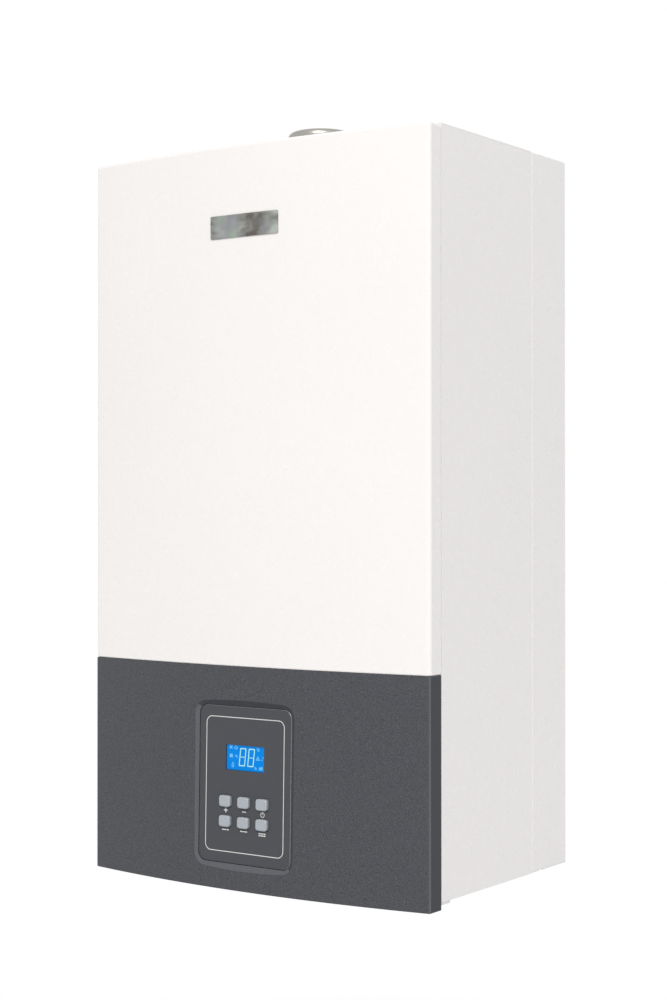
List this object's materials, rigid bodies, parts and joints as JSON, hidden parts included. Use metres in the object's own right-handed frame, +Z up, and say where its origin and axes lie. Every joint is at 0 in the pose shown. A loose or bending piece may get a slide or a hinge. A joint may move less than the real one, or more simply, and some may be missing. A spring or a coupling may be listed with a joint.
{
  "type": "wall-hung combi boiler",
  "caption": "Wall-hung gas combi boiler with a bowed white door, dark lower fascia with a blue display and push buttons, and a flue spigot on top.",
  "frame": {"origin": "middle of the wall bracket's back face, on the wall", "axes": "+X to the right of someone facing the boiler, +Y into the wall, +Z up"},
  "size_m": [0.4, 0.2755, 0.756],
  "materials": {
    "white_paint": "smooth white powder coat on steel sheet",
    "dark_fascia": "dark grey moulded plastic with a fine metallic fleck",
    "dark_plate": "satin dark grey plastic",
    "silver_plate": "brushed silver foil on a thin plate",
    "silver_buttons": "pale silver satin plastic",
    "display_blue": "backlit blue display under clear plastic",
    "zinc_sheet": "galvanised steel sheet",
    "black_plastic": "black flame-retardant plastic",
    "grey_plastic": "grey moulded plastic",
    "red_plastic": "red moulded plastic",
    "blue_plastic": "blue moulded plastic",
    "circuit_green": "green printed board",
    "fibre_board": "pressed ceramic fibre",
    "clear_glass": "clear glass",
    "stainless_steel": "brushed stainless steel",
    "copper": "plain copper",
    "brass": "pressed and turned brass",
    "cast_aluminium": "die-cast aluminium",
    "cast_iron": "cast iron with dark paint",
    "red_paint": "red enamel on steel",
    "white_ceramic": "white technical ceramic"
  },
  "bodies": {
    "casing": {"rear_frame": "white_paint", "wall_bracket": "zinc_sheet", "side_panel_left": "white_paint", "side_panel_right": "white_paint", "top_panel": "white_paint", "bottom_panel": "white_paint", "hinge_bracket_left": "white_paint", "hinge_bracket_right": "white_paint", "sealed_chamber": "zinc_sheet", "chamber_cover": "zinc_sheet", "sight_glass": "clear_glass", "burner": "stainless_steel", "gas_manifold": "cast_aluminium", "combustion_chamber": "stainless_steel", "insulation_lining": "fibre_board", "ignition_electrode": "white_ceramic", "heat_exchanger": "copper", "flue_hood": "cast_aluminium", "fan_housing": "cast_aluminium", "fan_motor": "cast_iron", "flue_collar": "stainless_steel", "air_pressure_switch": "grey_plastic", "heating_flow_tail": "brass", "hot_water_tail": "brass", "gas_tail": "brass", "cold_water_tail": "brass", "heating_return_tail": "brass", "flow_group": "brass", "return_group": "brass", "plate_heat_exchanger": "stainless_steel", "pump_body": "cast_iron", "pump_motor": "red_paint", "air_vent": "brass", "diverter_motor": "grey_plastic", "safety_valve": "brass", "gas_valve": "cast_aluminium", "gas_pipe": "cast_aluminium", "flow_pipe": "copper", "return_pipe": "copper", "expansion_vessel": "red_paint", "vessel_pipe": "copper", "cable_gland": "black_plastic"},
    "front_panel": {"front_panel": "white_paint", "nameplate": "silver_plate"},
    "control_box": {"control_box": "black_plastic", "lower_fascia": "dark_fascia", "control_plate": "dark_plate", "display_module": "display_blue", "circuit_board": "circuit_green"},
    "plus_button": {"plus_button": "silver_buttons"},
    "minus_button": {"minus_button": "silver_buttons"},
    "power_button": {"power_button": "silver_buttons"},
    "mode_button": {"mode_button": "silver_buttons"},
    "info_button": {"info_button": "silver_buttons"},
    "heating_button": {"heating_button": "silver_buttons"},
    "fan_impeller": {"fan_impeller": "cast_aluminium"},
    "pump_rotor": {"pump_rotor": "grey_plastic"},
    "diverter_spindle": {"diverter_spindle": "stainless_steel"},
    "filling_knob": {"filling_knob": "blue_plastic"},
    "safety_valve_knob": {"safety_valve_knob": "red_plastic"}
  },
  "joints": [
    {"name": "front_panel_tilt", "type": "hinge", "parent": "casing", "child": "front_panel", "pos_m": [0, -0.2375, 0.046], "axis": [-1, 0, 0], "range_deg": [0, 20]},
    {"name": "control_box_drop", "type": "hinge", "parent": "casing", "child": "control_box", "pos_m": [0, -0.2395, -0.663], "axis": [1, 0, 0], "range_deg": [0, 85]},
    {"name": "plus_press", "type": "slide", "parent": "control_box", "child": "plus_button", "axis": [0, 0.9998, -0.0211], "range_m": [0, 0.0012], "stiffness_N_per_m": 1250, "springref_m": -0.0005},
    {"name": "minus_press", "type": "slide", "parent": "control_box", "child": "minus_button", "axis": [0, 0.9998, -0.0211], "range_m": [0, 0.0012], "stiffness_N_per_m": 1250, "springref_m": -0.0005},
    {"name": "power_press", "type": "slide", "parent": "control_box", "child": "power_button", "axis": [0, 0.9998, -0.0211], "range_m": [0, 0.0012], "stiffness_N_per_m": 1250, "springref_m": -0.0005},
    {"name": "mode_press", "type": "slide", "parent": "control_box", "child": "mode_button", "axis": [0, 0.9998, -0.0211], "range_m": [0, 0.0012], "stiffness_N_per_m": 1250, "springref_m": -0.0005},
    {"name": "info_press", "type": "slide", "parent": "control_box", "child": "info_button", "axis": [0, 0.9998, -0.0211], "range_m": [0, 0.0012], "stiffness_N_per_m": 1250, "springref_m": -0.0005},
    {"name": "heating_press", "type": "slide", "parent": "control_box", "child": "heating_button", "axis": [0, 0.9998, -0.0211], "range_m": [0, 0.0012], "stiffness_N_per_m": 1250, "springref_m": -0.0005},
    {"name": "fan_spin", "type": "hinge", "parent": "casing", "child": "fan_impeller", "pos_m": [-0.024, -0.144, -0.026], "axis": [0, 1, 0], "continuous": true},
    {"name": "pump_spin", "type": "hinge", "parent": "casing", "child": "pump_rotor", "pos_m": [0.11, -0.1, -0.531], "axis": [0, 1, 0], "continuous": true},
    {"name": "diverter_slide", "type": "slide", "parent": "casing", "child": "diverter_spindle", "axis": [0, 0, 1], "range_m": [0, 0.008]},
    {"name": "filling_knob_turn", "type": "hinge", "parent": "casing", "child": "filling_knob", "pos_m": [0.098, -0.128, -0.665], "axis": [0, 0, 1], "range_deg": [0, 90]},
    {"name": "safety_knob_turn", "type": "hinge", "parent": "casing", "child": "safety_valve_knob", "pos_m": [0.16, -0.155, -0.603], "axis": [0, 1, 0], "range_deg": [0, 90]}
  ]
}
